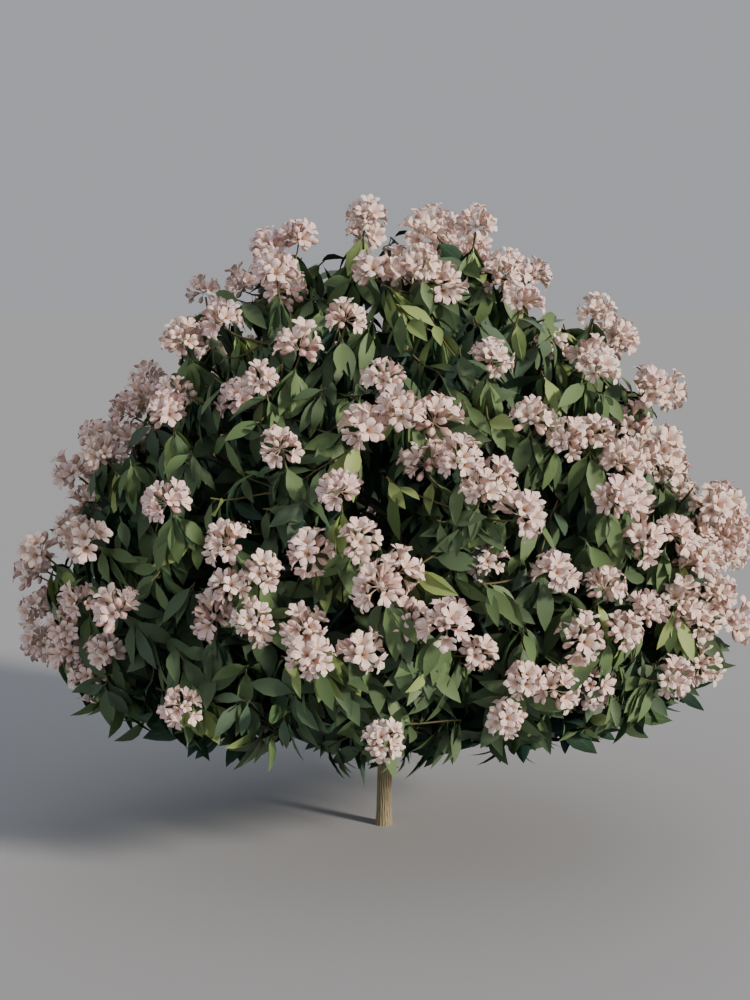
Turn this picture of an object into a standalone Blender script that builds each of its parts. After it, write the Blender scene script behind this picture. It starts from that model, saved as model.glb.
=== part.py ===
"""A rhododendron in bloom: one short trunk, five spreading boughs and a leader, the side limbs
that they carry, and a domed crown of leafy masses whose shoots end in round flower trusses.

Metres, +Z up. The origin is the middle of the trunk's flat cut at ground level. Azimuths are in
degrees, from the front (-Y) round by the right (+X).
"""

import math
import random

import bmesh
import bpy
import numpy as np
from mathutils import Matrix, Vector

# Crown: a dome through the centres of the flower trusses.
CROWN_HALF_WIDTH = 0.845
CROWN_HALF_DEPTH = 0.805
CROWN_FOOT = 0.44
CROWN_WAIST = 0.59
CROWN_TOP = 1.545
CROWN_POWER = 1.8
CROWN_TUCK = 0.06
FOCUS_HEIGHT = 0.30
SHOOTS = 82
SHOOT_JITTER = 0.022
GOLDEN_ANGLE = 137.508
SEED = 7

# Lobes that stand out of the dome, or lie in where the swell is below nought: azimuth, height,
# reach round the lobe's middle, swell.
LOBES = (
    (270.0, 0.53, 0.24, 0.065),
    (272.0, 0.90, 0.14, 0.015),
    (275.0, 1.17, 0.20, -0.065),
    (285.0, 1.42, 0.16, 0.035),
    (88.0, 0.78, 0.24, 0.045),
    (92.0, 1.02, 0.12, -0.040),
    (88.0, 1.25, 0.16, 0.055),
    (80.0, 1.41, 0.10, -0.030),
    (92.0, 1.52, 0.20, 0.030),
)

# Trunk.
TRUNK_HEIGHT = 0.255
TRUNK_RADIUS = 0.0200
TRUNK_TOP_RADIUS = 0.0185
TRUNK_FLARE = 0.0030
TRUNK_FLARE_HEIGHT = 0.020
TRUNK_LEAN = 0.004
TRUNK_SIDES = 14
TRUNK_RINGS = 8
TRUNK_RING_SPREAD = 1.6

# Boughs: the side that each one spreads to and the height where it leaves the trunk.
BOUGHS = {
    "front": (18.0, 0.170),
    "right": (90.0, 0.186),
    "back": (162.0, 0.202),
    "back_left": (234.0, 0.178),
    "front_left": (306.0, 0.194),
}
BOUGH_RADIUS = 0.0105
BOUGH_TIP_RADIUS = 0.0076
BOUGH_RISE = 38.0
BOUGH_SIDES = 8
LEADER_RADIUS = 0.0150
LEADER_TIP_RADIUS = 0.0078
LIMB_RADIUS = 0.0082
LIMB_TIP_RADIUS = 0.0072
LIMB_SIDES = 6
LIMB_POINTS = 5
LIMB_COLLAR = 0.012
LIMB_BEND = 0.38
LIMB_FORWARD = 0.45

# Tiers of foliage masses: height, number round the crown and the first one's azimuth.
TIERS = {
    "skirt": (0.55, 10, 0.0),
    "waist": (0.90, 10, 18.0),
    "shoulder": (1.24, 6, 30.0),
    "top": (1.485, 2, 75.0),
}
# Where side limbs leave what carries them, as shares of its length.
SKIRT_FORKS = (0.40, 0.54)
WAIST_FORK = 0.28
SHOULDER_FORKS = (0.30, 0.62)
TOP_FORK = 0.78

# Inside a mass: from the dome in to the stem's end, and the stem's length.
FORK_DEPTH = 0.230
STEM_LENGTH = 0.075
STEM_END_RADIUS = 0.0075
STEM_SIDES = 5
TWIG_RADIUS = 0.0052
TWIG_END_RADIUS = 0.0048
TWIG_SIDES = 3
# Twigs leave the stem one after another: the first one's share of its length, and the step back.
TWIG_FIRST = 0.97
TWIG_STEP = 0.13
TWIG_PLACES = 4

# A leaf, larger than life because the solid holds few of them. Its root lies on the twig's axis,
# below the truss by shares of the truss's radius. Where it doesn't fit it is made smaller.
LEAVES_A_SHOOT = 5
LEAF_LENGTH = 0.165
LEAF_WIDTH = 0.064
LEAF_THICKNESS = 0.0030
LEAF_FOLD = 0.008
LEAF_WIDEST = 0.46
LEAF_LOWEST = 1.10
LEAF_STEP = 0.09
LEAF_DROOP = 0.42
LEAF_SWEEP = 0.22
LEAF_SWEEP_VARIES = (0.6, 1.4)
LEAF_SHARES = (1.0, 0.82, 0.66)

# A flower truss: a ball of rounded bumps, one for each open flower.
TRUSS_RADIUS = 0.078
TRUSS_BUMP = 0.06
TRUSS_HOLLOW = 0.16
TRUSS_SEGMENTS = 8
TRUSS_RINGS = 4

# Clearances: between a limb and what carries it, round a mass's space, and from leaf to limb.
GAP = 0.0003
SEAT_GAP = 0.00036
CLEARANCE = 0.0025
LEAF_CLEARANCE = 0.01
TWIG_TESTED = (0.25, 0.9, 8)
DOME_SAMPLES = 400


def clear_scene():
    for obj in list(bpy.data.objects):
        bpy.data.objects.remove(obj)


def new_collection(name, parent=None):
    collection = bpy.data.collections.new(name)
    (parent or bpy.context.scene.collection).children.link(collection)
    return collection


def new_material(name, colour, roughness):
    material = bpy.data.materials.new(name)
    material.use_nodes = True
    shader = material.node_tree.nodes["Principled BSDF"]
    shader.inputs["Base Color"].default_value = (*colour, 1.0)
    shader.inputs["Roughness"].default_value = roughness
    shader.inputs["Metallic"].default_value = 0.0
    return material


def round_side(azimuth):
    """The level direction at an azimuth."""
    angle = math.radians(azimuth)
    return Vector((math.sin(angle), -math.cos(angle), 0.0))


# The crown's dome.


def crown_radius(height):
    """Radius of the dome at a height, as a share of its half width."""
    above = (height - CROWN_WAIST) / (CROWN_TOP - CROWN_WAIST)
    if above > 0:
        return max(1.0 - min(above, 1.0) ** CROWN_POWER, 0.0) ** (1.0 / CROWN_POWER)
    below = (CROWN_WAIST - height) / (CROWN_WAIST - CROWN_FOOT)
    return 1.0 - CROWN_TUCK * below * below


def crown_point(height, azimuth):
    """The dome's point at a height and an azimuth, with the lobes' swell."""
    side = round_side(azimuth)
    share = crown_radius(height)
    point = Vector((side.x * CROWN_HALF_WIDTH * share, side.y * CROWN_HALF_DEPTH * share, height))
    focus = Vector((0.0, 0.0, FOCUS_HEIGHT))
    grown = 1.0
    for lobe_azimuth, lobe_height, reach, swell in LOBES:
        share = crown_radius(lobe_height)
        lobe_side = round_side(lobe_azimuth)
        middle = Vector(
            (lobe_side.x * CROWN_HALF_WIDTH * share, lobe_side.y * CROWN_HALF_DEPTH * share, lobe_height)
        )
        away = (point - middle).length / reach
        grown += swell * math.exp(-away * away)
    return focus + (point - focus) * grown


def outward(point):
    """The way that a shoot at this point of the crown faces."""
    return (point - Vector((0.0, 0.0, FOCUS_HEIGHT))).normalized()


def shoot_tips():
    """Truss centres, dealt over the dome by the golden angle so that each has an equal area."""
    rise = np.sin(np.linspace(0.0, math.pi / 2, DOME_SAMPLES))
    heights = CROWN_FOOT + (CROWN_TOP - CROWN_FOOT) * rise
    radii = np.array([crown_radius(h) for h in heights]) * CROWN_HALF_WIDTH
    steps = np.hypot(np.diff(heights), np.diff(radii)) * (radii[1:] + radii[:-1]) / 2
    area = np.concatenate([[0.0], np.cumsum(steps)])
    tips = []
    for index in range(SHOOTS):
        dice = random.Random(SEED * 1000 + index)
        height = float(np.interp(area[-1] * (index + 0.5) / SHOOTS, area, heights))
        point = crown_point(height, index * GOLDEN_ANGLE)
        shift = Vector([dice.uniform(-1.0, 1.0) for _ in range(3)])
        tips.append(point + shift * SHOOT_JITTER)
    return tips


# The frame of limbs, each a list of (point, radius) from its root to its tip.


def bezier(p0, p1, p2, p3, count):
    points = []
    for i in range(count):
        t = i / (count - 1)
        s = 1.0 - t
        points.append(p0 * s**3 + p1 * (3 * s * s * t) + p2 * (3 * s * t * t) + p3 * t**3)
    return points


def tapered(points, radius, tip_radius):
    last = len(points) - 1
    return [(p, radius + (tip_radius - radius) * i / last) for i, p in enumerate(points)]


def along(limb, share):
    """(point, direction) at a share of a limb's length."""
    lengths = [(limb[i + 1][0] - limb[i][0]).length for i in range(len(limb) - 1)]
    left = share * sum(lengths)
    for i, length in enumerate(lengths):
        if left <= length or i == len(lengths) - 1:
            step = limb[i + 1][0] - limb[i][0]
            return limb[i][0] + step * (left / length), step.normalized()
        left -= length


def trunk_axis(height):
    """The trunk's middle at a height: it leans a little to the right as it rises."""
    return Vector((TRUNK_LEAN * height / TRUNK_HEIGHT, 0.0, height))


def plan_masses():
    """Name, middle on the dome, facing, stem start and stem end of each foliage mass."""
    masses = {}
    for tier, (height, count, first) in TIERS.items():
        for i in range(count):
            middle = crown_point(height, first + 360.0 * i / count)
            facing = outward(middle)
            end = middle - facing * FORK_DEPTH
            masses[f"{tier}_{i + 1:02d}"] = {
                "middle": middle,
                "facing": facing,
                "start": end - facing * STEM_LENGTH,
                "end": end,
            }
    return masses


def plan_limbs(masses):
    """Every bough and side limb: name to (centreline with radii, name of what carries it)."""
    limbs = {}

    def grow(name, root, leave, mass, radii, carrier):
        goal = masses[mass]
        start = goal["start"] - goal["facing"] * GAP
        reach = (start - root).length * LIMB_BEND
        first = root + leave * LIMB_COLLAR
        last = start - goal["facing"] * LIMB_COLLAR
        curve = bezier(first, first + leave * reach, last - goal["facing"] * reach, last, LIMB_POINTS)
        limbs[name] = (tapered([root] + curve + [start], *radii), carrier)
        goal["limb"] = name

    def side_limb(mass, carrier, share):
        root, onward = along(limbs[carrier][0], share)
        towards = (masses[mass]["start"] - root).normalized()
        leave = (onward * LIMB_FORWARD + towards).normalized()
        grow("limb_" + mass, root, leave, mass, (LIMB_RADIUS, LIMB_TIP_RADIUS), carrier)

    rise = math.radians(BOUGH_RISE)
    for i, (side, (azimuth, height)) in enumerate(BOUGHS.items()):
        bough = "bough_" + side
        leave = round_side(azimuth) * math.cos(rise) + Vector((0.0, 0.0, math.sin(rise)))
        radii = (BOUGH_RADIUS, BOUGH_TIP_RADIUS)
        grow(bough, trunk_axis(height), leave, f"waist_{2 * i + 1:02d}", radii, "trunk")
        for j, share in enumerate(SKIRT_FORKS):
            side_limb(f"skirt_{2 * i + j + 1:02d}", bough, share)
        side_limb(f"waist_{2 * i + 2:02d}", bough, WAIST_FORK)
    foot = trunk_axis(TRUNK_HEIGHT + GAP)
    upright = Vector((0.0, 0.0, 1.0))
    grow("leader", foot, upright, "top_01", (LEADER_RADIUS, LEADER_TIP_RADIUS), None)
    count = TIERS["shoulder"][1]
    low, high = SHOULDER_FORKS
    for i in range(count):
        side_limb(f"shoulder_{i + 1:02d}", "leader", low + (high - low) * ((i * 5) % count) / (count - 1))
    side_limb("top_02", "leader", TOP_FORK)
    return limbs


# Solids.


def mesh_object(name, bm, collection, material):
    mesh = bpy.data.meshes.new(name)
    bm.to_mesh(mesh)
    bm.free()
    mesh.materials.append(material)
    obj = bpy.data.objects.new(name, mesh)
    collection.objects.link(obj)
    return obj


def tube(name, centreline, sides, collection, material):
    """A tapering limb: a poly curve with a round bevel and filled caps, made a closed mesh."""
    curve = bpy.data.curves.new(name, "CURVE")
    curve.dimensions = "3D"
    curve.bevel_depth = 1.0
    curve.bevel_resolution = (sides - 4) // 2
    curve.use_fill_caps = True
    spline = curve.splines.new("POLY")
    spline.points.add(len(centreline) - 1)
    for spot, (point, radius) in zip(spline.points, centreline):
        spot.co = (*point, 1.0)
        spot.radius = radius
    guide = bpy.data.objects.new(name + "_guide", curve)
    bpy.context.scene.collection.objects.link(guide)
    bpy.context.view_layer.update()
    mesh = bpy.data.meshes.new_from_object(guide.evaluated_get(bpy.context.evaluated_depsgraph_get()))
    bpy.data.objects.remove(guide)
    bpy.data.curves.remove(curve)
    bm = bmesh.new()
    bm.from_mesh(mesh)
    bpy.data.meshes.remove(mesh)
    bmesh.ops.remove_doubles(bm, verts=bm.verts, dist=1e-5)
    bmesh.ops.recalc_face_normals(bm, faces=bm.faces)
    for face in bm.faces:
        face.smooth = len(face.verts) == 4
    return mesh_object(name, bm, collection, material)


def frustum(name, start, end, radii, sides, collection, material):
    """A straight tapering piece between two points, from a cone primitive."""
    bm = bmesh.new()
    axis = end - start
    bmesh.ops.create_cone(
        bm, cap_ends=True, segments=sides, radius1=radii[0], radius2=radii[1], depth=axis.length
    )
    turn = axis.to_track_quat("Z", "Y").to_matrix().to_4x4()
    bmesh.ops.transform(bm, matrix=Matrix.Translation((start + end) / 2) @ turn, verts=bm.verts)
    return mesh_object(name, bm, collection, material)


def trunk(name, extra, collection, material):
    """A stout stem: a cone primitive cut into rings, flared at the root, with a flat foot.

    Its skin stands out by an extra width, which is nothing on the trunk itself.
    """
    bm = bmesh.new()
    bmesh.ops.create_cone(
        bm,
        cap_ends=True,
        segments=TRUNK_SIDES,
        radius1=TRUNK_RADIUS + extra,
        radius2=TRUNK_TOP_RADIUS + extra,
        depth=TRUNK_HEIGHT,
    )
    bmesh.ops.translate(bm, vec=(0.0, 0.0, TRUNK_HEIGHT / 2), verts=bm.verts)
    for ring in range(1, TRUNK_RINGS):
        height = TRUNK_HEIGHT * (ring / TRUNK_RINGS) ** TRUNK_RING_SPREAD
        geometry = bm.verts[:] + bm.edges[:] + bm.faces[:]
        bmesh.ops.bisect_plane(bm, geom=geometry, plane_co=(0.0, 0.0, height), plane_no=(0.0, 0.0, 1.0))
    for vert in bm.verts:
        flare = 1.0 + TRUNK_FLARE / TRUNK_RADIUS * math.exp(-vert.co.z / TRUNK_FLARE_HEIGHT)
        middle = trunk_axis(vert.co.z)
        vert.co.x = middle.x + vert.co.x * flare
        vert.co.y = middle.y + vert.co.y * flare
    for face in bm.faces:
        face.smooth = abs(face.normal.z) < 0.9
    return mesh_object(name, bm, collection, material)


def leaf(name, root, heading, up, share, collection, material):
    """A pointed blade of eight faces, from a sphere primitive of four segments and two rings.

    Its poles are the root and the tip; the other four corners are its edges and its ridge, which
    lies lower than the edges so that the blade is folded along its midrib. Its length and width
    are a share of the full leaf's.
    """
    bm = bmesh.new()
    bmesh.ops.create_uvsphere(bm, u_segments=4, v_segments=2, radius=1.0)
    side = up.cross(heading).normalized()
    normal = heading.cross(side)
    for vert in bm.verts:
        x, y, z = vert.co
        station = share * LEAF_LENGTH * (LEAF_WIDEST if abs(z) < 0.5 else (z + 1.0) / 2)
        fold = LEAF_FOLD * (abs(x) - 1.0) if abs(z) < 0.5 else 0.0
        vert.co = (
            root
            + heading * station
            + side * (x * share * LEAF_WIDTH / 2)
            + normal * (y * LEAF_THICKNESS / 2 + fold)
        )
    return mesh_object(name, bm, collection, material)


def truss(name, centre, facing, spin, collection, material):
    """A ball of bumps: a sphere primitive whose corners stand out and lie in by turns."""
    bm = bmesh.new()
    bmesh.ops.create_uvsphere(
        bm, u_segments=TRUSS_SEGMENTS, v_segments=TRUSS_RINGS, radius=TRUSS_RADIUS
    )
    for vert in bm.verts:
        polar = vert.co.normalized()
        ring = round(math.acos(max(-1.0, min(1.0, polar.z))) / math.pi * TRUSS_RINGS)
        segment = round(math.atan2(polar.y, polar.x) / (2 * math.pi) * TRUSS_SEGMENTS)
        bump = TRUSS_BUMP if (ring + segment) % 2 == 0 or ring == 0 else -TRUSS_HOLLOW
        vert.co *= 1.0 + bump
    turn = facing.to_track_quat("Z", "Y").to_matrix().to_4x4() @ Matrix.Rotation(spin, 4, "Z")
    bmesh.ops.transform(bm, matrix=Matrix.Translation(centre) @ turn, verts=bm.verts)
    for face in bm.faces:
        face.smooth = True
    return mesh_object(name, bm, collection, material)


# The rules that keep each mass to its own space.


def limb_clearance(points, limbs):
    """Least distance from any of the points to any limb's skin."""
    found = 1.0
    cloud = np.array(points)
    for centreline, _ in limbs.values():
        spots = np.array([p for p, _ in centreline])
        radii = np.array([r for _, r in centreline])
        for a, b, thick in zip(spots[:-1], spots[1:], radii[:-1]):
            step = b - a
            share = np.clip((cloud - a) @ step / (step @ step), 0.0, 1.0)
            away = np.linalg.norm(cloud - (a + share[:, None] * step), axis=1) - thick
            found = min(found, float(away.min()))
    return found


def in_own_space(points, own, foreign):
    """True if each point is nearer, by the clearance, to the mass's own trusses than to others."""
    cloud = np.array(points)
    to_own = np.linalg.norm(cloud[:, None] - own[None], axis=2).min(axis=1)
    to_foreign = np.linalg.norm(cloud[:, None] - foreign[None], axis=2).min(axis=1)
    return bool((to_foreign - to_own).min() > 2 * CLEARANCE)


def outline_of(obj):
    """The object's corners and the middles of its edges."""
    corners = [Vector(v.co) for v in obj.data.vertices]
    return corners + [(corners[e.vertices[0]] + corners[e.vertices[1]]) / 2 for e in obj.data.edges]


def largest_body(mesh):
    """Keeps the largest connected body of a mesh, which also fills any sealed hollow."""
    bm = bmesh.new()
    bm.from_mesh(mesh)
    left = set(bm.verts)
    bodies = []
    while left:
        seed = left.pop()
        body, front = {seed}, [seed]
        while front:
            for edge in front.pop().link_edges:
                for vert in edge.verts:
                    if vert in left:
                        left.discard(vert)
                        body.add(vert)
                        front.append(vert)
        bodies.append(body)
    bodies.sort(key=len)
    for body in bodies[:-1]:
        bmesh.ops.delete(bm, geom=list(body), context="VERTS")
    bm.to_mesh(mesh)
    bm.free()


def foliage_mass(name, plan, tips, own, foreign, limbs, materials, crown):
    """One mass: a stem that forks into twigs, each with a whorl of leaves and a truss at its tip."""
    bark, green, blossom = materials
    pieces = new_collection(name + "_pieces")
    tip_radius = limbs[plan["limb"]][0][-1][1]
    fork_radii = (tip_radius, STEM_END_RADIUS)
    base = frustum(
        "foliage_" + name, plan["start"], plan["end"], fork_radii, STEM_SIDES, crown, bark
    )
    for order, index in enumerate(own):
        tip = tips[index]
        dice = random.Random(SEED * 2000 + index)
        fork = plan["start"].lerp(plan["end"], TWIG_FIRST - TWIG_STEP * (order % TWIG_PLACES))
        heading = (tip - fork).normalized()
        twig = frustum(
            f"twig_{index}", fork, tip, (TWIG_RADIUS, TWIG_END_RADIUS), TWIG_SIDES, pieces, bark
        )
        samples = [fork.lerp(tip, share) for share in np.linspace(*TWIG_TESTED)]
        if limb_clearance(samples, limbs) < TWIG_RADIUS + CLEARANCE:
            bpy.data.objects.remove(twig)
            continue
        facing = (outward(tip) + heading).normalized()
        truss(f"truss_{index}", tip, facing, dice.uniform(0.0, math.pi), pieces, blossom)
        spin = dice.uniform(0.0, 2 * math.pi)
        across = facing.orthogonal().normalized()
        for turn in range(LEAVES_A_SHOOT):
            spoke = Matrix.Rotation(spin + 2 * math.pi * turn / LEAVES_A_SHOOT, 3, facing) @ across
            sweep = LEAF_SWEEP * dice.uniform(*LEAF_SWEEP_VARIES)
            way = (spoke - facing * sweep - Vector((0.0, 0.0, LEAF_DROOP))).normalized()
            back = TRUSS_RADIUS * (LEAF_LOWEST + LEAF_STEP * ((turn * 2) % LEAVES_A_SHOOT))
            root = tip - heading * back
            for share in LEAF_SHARES:
                blade = leaf(f"leaf_{index}_{turn}", root, way, facing, share, pieces, green)
                spots = outline_of(blade)
                inside = in_own_space(spots, tips_array(tips, own), foreign)
                if inside and limb_clearance(spots, limbs) > LEAF_CLEARANCE:
                    break
                bpy.data.objects.remove(blade)
    union = base.modifiers.new("union", "BOOLEAN")
    union.operation = "UNION"
    union.operand_type = "COLLECTION"
    union.collection = pieces
    union.solver = "MANIFOLD"
    bpy.context.view_layer.update()
    fused = bpy.data.meshes.new_from_object(base.evaluated_get(bpy.context.evaluated_depsgraph_get()))
    base.modifiers.clear()
    base.data = fused
    for obj in list(pieces.objects):
        bpy.data.objects.remove(obj)
    bpy.data.collections.remove(pieces)
    largest_body(fused)
    return base


def tips_array(tips, indices):
    return np.array([tips[i] for i in indices])


def cut_to_seat(child, seat):
    """Cuts a limb's root to the shape of what carries it, 0.3 mm clear."""
    cut = child.modifiers.new(seat.name, "BOOLEAN")
    cut.operation = "DIFFERENCE"
    cut.object = seat


def build():
    clear_scene()
    plant = new_collection("rhododendron")
    cutters = new_collection("cutters")
    bark = new_material("bark", (0.33, 0.27, 0.18), 0.9)
    green = new_material("leaf_green", (0.10, 0.17, 0.06), 0.55)
    blossom = new_material("blossom_pink", (0.80, 0.62, 0.60), 0.6)

    masses = plan_masses()
    limbs = plan_limbs(masses)
    tips = shoot_tips()

    trunk("trunk", 0.0, plant, bark)
    seats = {}
    shells = {}
    for name, (centreline, _) in limbs.items():
        sides = LIMB_SIDES if name.startswith("limb_") else BOUGH_SIDES
        shells[name] = tube(name, centreline, sides, plant, bark)
    for name, (_, carrier) in limbs.items():
        if carrier is None:
            continue
        if carrier not in seats:
            if carrier == "trunk":
                seats[carrier] = trunk("seat_trunk", SEAT_GAP, cutters, bark)
            else:
                grown = [(p, r + SEAT_GAP) for p, r in limbs[carrier][0]]
                seats[carrier] = tube("seat_" + carrier, grown, BOUGH_SIDES, cutters, bark)
            seats[carrier].hide_render = True
            seats[carrier].display_type = "WIRE"
        cut_to_seat(shells[name], seats[carrier])

    middles = np.array([plan["middle"] for plan in masses.values()])
    owner = [int(np.linalg.norm(middles - np.array(tip), axis=1).argmin()) for tip in tips]
    for number, (name, plan) in enumerate(masses.items()):
        own = [i for i, mass in enumerate(owner) if mass == number]
        others = [i for i, mass in enumerate(owner) if mass != number]
        materials = (bark, green, blossom)
        mass = foliage_mass(name, plan, tips, own, tips_array(tips, others), limbs, materials, plant)
        print(mass.name, len(own), "shoots,", len(mass.data.polygons), "faces")


build()
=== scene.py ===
import math
import random

import bpy
import numpy as np
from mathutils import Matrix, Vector


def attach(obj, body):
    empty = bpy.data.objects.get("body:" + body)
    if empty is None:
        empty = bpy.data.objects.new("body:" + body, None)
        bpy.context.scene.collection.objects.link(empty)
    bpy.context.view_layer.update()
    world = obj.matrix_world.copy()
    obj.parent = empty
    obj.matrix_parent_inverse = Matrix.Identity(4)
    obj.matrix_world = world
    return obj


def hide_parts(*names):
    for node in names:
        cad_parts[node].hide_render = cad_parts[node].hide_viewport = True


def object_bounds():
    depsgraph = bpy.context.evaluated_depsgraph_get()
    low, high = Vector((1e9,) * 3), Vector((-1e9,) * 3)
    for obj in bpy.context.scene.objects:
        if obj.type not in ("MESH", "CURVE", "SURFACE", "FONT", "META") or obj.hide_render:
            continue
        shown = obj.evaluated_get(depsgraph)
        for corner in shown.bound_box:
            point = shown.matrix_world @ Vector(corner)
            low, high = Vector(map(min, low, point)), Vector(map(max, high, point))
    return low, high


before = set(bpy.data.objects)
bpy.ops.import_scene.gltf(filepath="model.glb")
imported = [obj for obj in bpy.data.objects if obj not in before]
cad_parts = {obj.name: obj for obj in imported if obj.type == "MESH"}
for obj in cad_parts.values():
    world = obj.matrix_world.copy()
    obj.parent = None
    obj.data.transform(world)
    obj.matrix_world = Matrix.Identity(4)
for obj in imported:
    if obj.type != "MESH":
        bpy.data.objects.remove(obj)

cadBox = [list(corner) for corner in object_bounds()]
goldenTurn = math.radians(137.508)

# The crown is the dome of the solids: truss centres lie on it, and lobes stand out of it.
# A lobe is azimuth in degrees from the front round by the right, height, reach and swell.
crown = {
    "halfWidth": 0.845,
    "halfDepth": 0.805,
    "foot": 0.44,
    "waist": 0.59,
    "top": 1.545,
    "power": 1.8,
    "tuck": 0.06,
    "focus": np.array([0.0, 0.0, 0.30]),
    "leads": 82,
    "jitter": 0.022,
    "seed": 7,
    "lobes": (
        (270.0, 0.53, 0.24, 0.065),
        (272.0, 0.90, 0.14, 0.015),
        (275.0, 1.17, 0.20, -0.065),
        (285.0, 1.42, 0.16, 0.035),
        (88.0, 0.78, 0.24, 0.045),
        (92.0, 1.02, 0.12, -0.040),
        (88.0, 1.25, 0.16, 0.055),
        (80.0, 1.41, 0.10, -0.030),
        (92.0, 1.52, 0.20, 0.030),
    ),
}


def unit(v):
    return v / np.maximum(np.linalg.norm(v, axis=-1, keepdims=True), 1e-9)


def levelSide(azimuth):
    # the level direction at an azimuth: sine to the right, minus cosine away from the viewer
    a = np.radians(azimuth)
    return np.stack([np.sin(a), -np.cos(a), np.zeros_like(a)], axis=-1)


def crownShare(height):
    # radius of the dome over its half width: a superellipse above the waist, a small tuck below
    above = np.clip((height - crown["waist"]) / (crown["top"] - crown["waist"]), 0.0, 1.0)
    below = np.clip((crown["waist"] - height) / (crown["waist"] - crown["foot"]), 0.0, 2.0)
    dome = (1.0 - above ** crown["power"]) ** (1.0 / crown["power"])
    return dome - crown["tuck"] * below * below


def flatDome(height, azimuth):
    side = levelSide(azimuth) * crownShare(height)[..., None]
    return side * [crown["halfWidth"], crown["halfDepth"], 0.0] + height[..., None] * [0.0, 0.0, 1.0]


def withLobes(points):
    # every lobe pushes points away from the focus by its swell times a bell of the distance to it
    grown = np.ones(points.shape[:-1])
    for azimuth, height, reach, swell in crown["lobes"]:
        middle = flatDome(np.array(height), np.array(azimuth))
        away = np.linalg.norm(points - middle, axis=-1) / reach
        grown += swell * np.exp(-away * away)
    return crown["focus"] + (points - crown["focus"]) * grown[..., None]


def crownPoint(height, azimuth):
    height = np.asarray(height, float)
    return withLobes(flatDome(height, np.asarray(azimuth, float)))


def onDome(direction):
    # where a ray from the focus meets the dome, found by halving the step thirty times
    direction = unit(direction)
    level = np.hypot(direction[:, 0] / crown["halfWidth"], direction[:, 1] / crown["halfDepth"])
    low = np.zeros(len(direction))
    high = np.full(len(direction), 2.0)
    for _ in range(30):
        middle = (low + high) / 2
        outside = level * middle > crownShare(crown["focus"][2] + direction[:, 2] * middle)
        high = np.where(outside, middle, high)
        low = np.where(outside, low, middle)
    return withLobes(crown["focus"] + direction * low[:, None])


def leadTips():
    # the leading shoots' tips of the solids: equal areas of the dome, dealt by the golden angle
    heights = crown["foot"] + (crown["top"] - crown["foot"]) * np.sin(np.linspace(0, np.pi / 2, 400))
    radii = crownShare(heights) * crown["halfWidth"]
    strip = np.hypot(np.diff(heights), np.diff(radii)) * (radii[1:] + radii[:-1]) / 2
    area = np.concatenate([[0.0], np.cumsum(strip)])
    count = crown["leads"]
    index = np.arange(count)
    height = np.interp(area[-1] * (index + 0.5) / count, area, heights)
    shift = []
    for i in range(count):
        dice = random.Random(crown["seed"] * 1000 + i)
        shift.append([dice.uniform(-1.0, 1.0) for _ in range(3)])
    return crownPoint(height, np.degrees(index * goldenTurn)) + np.array(shift) * crown["jitter"]


# The limbs, by the rule of the solids: five boughs and a leader, and side limbs on them.
limbPlan = {
    "tiers": {
        "skirt": (0.55, 10, 0.0),
        "waist": (0.90, 10, 18.0),
        "shoulder": (1.24, 6, 30.0),
        "top": (1.485, 2, 75.0),
    },
    "boughs": {
        "front": (18.0, 0.170),
        "right": (90.0, 0.186),
        "back": (162.0, 0.202),
        "back_left": (234.0, 0.178),
        "front_left": (306.0, 0.194),
    },
    "boughRadii": (0.0105, 0.0076),
    "leaderRadii": (0.0150, 0.0078),
    "limbRadii": (0.0082, 0.0072),
    "boughRise": 38.0,
    "skirtForks": (0.40, 0.54),
    "waistFork": 0.28,
    "shoulderForks": (0.30, 0.62),
    "topFork": 0.78,
    "bend": 0.38,
    "forward": 0.45,
    "collar": 0.012,
    "points": 24,
    "forkDepth": 0.230,
    "stemLength": 0.075,
    "stemRadii": (0.0072, 0.0062),
}


def bezier(p0, p1, p2, p3, count):
    t = np.linspace(0.0, 1.0, count)[:, None]
    s = 1.0 - t
    return p0 * s**3 + p1 * (3 * s * s * t) + p2 * (3 * s * t * t) + p3 * t**3


def along(path, share):
    # point and direction at a share of a path's length
    steps = np.linalg.norm(np.diff(path, axis=0), axis=1)
    walked = np.concatenate([[0.0], np.cumsum(steps)])
    at = share * walked[-1]
    i = min(int(np.searchsorted(walked, at, side="right")) - 1, len(steps) - 1)
    step = path[i + 1] - path[i]
    return path[i] + step * (at - walked[i]) / steps[i], unit(step)


def planMasses():
    masses = {}
    for tier, (height, count, first) in limbPlan["tiers"].items():
        for i in range(count):
            middle = crownPoint(height, first + 360.0 * i / count)
            facing = unit(middle - crown["focus"])
            end = middle - facing * limbPlan["forkDepth"]
            start = end - facing * limbPlan["stemLength"]
            name = f"{tier}_{i + 1:02d}"
            masses[name] = {"middle": middle, "facing": facing, "start": start, "end": end}
    return masses


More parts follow.
